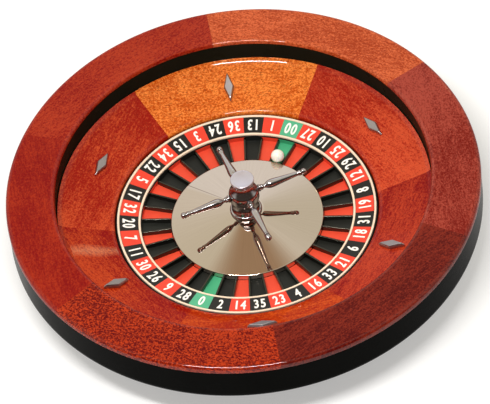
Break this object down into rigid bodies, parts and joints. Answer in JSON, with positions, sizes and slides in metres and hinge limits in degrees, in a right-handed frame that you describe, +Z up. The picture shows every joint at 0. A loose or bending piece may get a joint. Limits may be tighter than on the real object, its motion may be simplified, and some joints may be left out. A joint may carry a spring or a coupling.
{
  "type": "roulette wheel",
  "caption": "Wooden roulette wheel: a segmented bowl with a sloping apron and metal diamonds, a spinning numbered rotor with pockets, a polished cone, an armed turret and a white ball.",
  "frame": {"origin": "on the table top, under the spin axis", "axes": "+Z up along the spin axis; +X to the right and +Y away, as the wheel is seen from its front"},
  "size_m": [0.508, 0.508, 0.103],
  "materials": {
    "rim_wood_dark": "deep red mahogany under clear gloss lacquer",
    "rim_wood_light": "orange-brown figured wood under clear gloss lacquer",
    "apron_wood": "bright orange-red wood with long grain under clear gloss lacquer",
    "black_lacquer": "black gloss lacquer on turned wood",
    "black_paint": "black satin paint on fibreboard",
    "rubber": "matt moulded rubber",
    "cream_trim": "cream gloss plastic",
    "number_print": "red, black and green enamel with white numerals",
    "pocket_paint": "black frets over red, black and green pocket floors",
    "polished_nickel": "mirror-polished warm nickel with fine radial lines",
    "satin_metal": "satin grey metal",
    "dark_chrome": "polished dark chrome",
    "steel": "machined steel",
    "brass": "turned brass",
    "white_ball": "polished white resin"
  },
  "bodies": {
    "bowl": {"rim_segment_1": "rim_wood_light", "rim_segment_2": "rim_wood_dark", "rim_segment_3": "rim_wood_dark", "rim_segment_4": "rim_wood_light", "rim_segment_5": "rim_wood_dark", "rim_segment_6": "rim_wood_dark", "apron_segment_1": "apron_wood", "apron_segment_2": "apron_wood", "apron_segment_3": "apron_wood", "apron_segment_4": "apron_wood", "apron_segment_5": "apron_wood", "apron_segment_6": "apron_wood", "ball_track_ring": "black_lacquer", "side_ring": "black_lacquer", "bowl_body": "black_paint", "base_board": "black_paint", "rubber_foot_1": "rubber", "rubber_foot_2": "rubber", "rubber_foot_3": "rubber", "rubber_foot_4": "rubber", "foot_screw_1": "steel", "foot_screw_2": "steel", "foot_screw_3": "steel", "foot_screw_4": "steel", "deflector_1": "satin_metal", "deflector_2": "satin_metal", "deflector_3": "satin_metal", "deflector_4": "satin_metal", "deflector_5": "satin_metal", "deflector_6": "satin_metal", "spindle_flange": "steel", "flange_screw_1": "steel", "flange_screw_2": "steel", "flange_screw_3": "steel", "spindle": "steel", "spindle_nut": "steel", "lower_bearing_inner": "steel", "upper_bearing_inner": "steel", "bearing_inner_spacer": "steel"},
    "rotor": {"rotor_disc": "black_paint", "number_ring": "number_print", "outer_trim_ring": "cream_trim", "inner_trim_ring": "cream_trim", "pocket_ring": "pocket_paint", "centre_cone": "polished_nickel", "bearing_housing": "brass", "lower_bearing_outer": "steel", "upper_bearing_outer": "steel", "bearing_outer_spacer": "steel", "turret_base": "dark_chrome", "turret_column": "dark_chrome", "turret_hub": "dark_chrome", "turret_cap": "satin_metal", "turret_arm_1": "dark_chrome", "turret_arm_2": "dark_chrome", "turret_arm_3": "dark_chrome", "turret_arm_4": "dark_chrome"},
    "bearing_cages": {"lower_bearing_cage": "brass", "upper_bearing_cage": "brass"},
    "ball": {"ball": "white_ball"}
  },
  "joints": [
    {"name": "rotor_spin", "type": "hinge", "parent": "bowl", "child": "rotor", "pos_m": [0, 0, 0.048], "axis": [0, 0, 1], "continuous": true},
    {"name": "bearing_cage_spin", "type": "hinge", "parent": "bowl", "child": "bearing_cages", "pos_m": [0, 0, 0.035], "axis": [0, 0, 1], "continuous": true},
    {"name": "ball_lift", "type": "slide", "parent": "rotor", "child": "ball", "axis": [0, 0, 1], "range_m": [0, 0.1]}
  ],
  "couplings": [
    {"joint": "bearing_cage_spin", "follows": "rotor_spin", "ratio": 0.611}
  ]
}
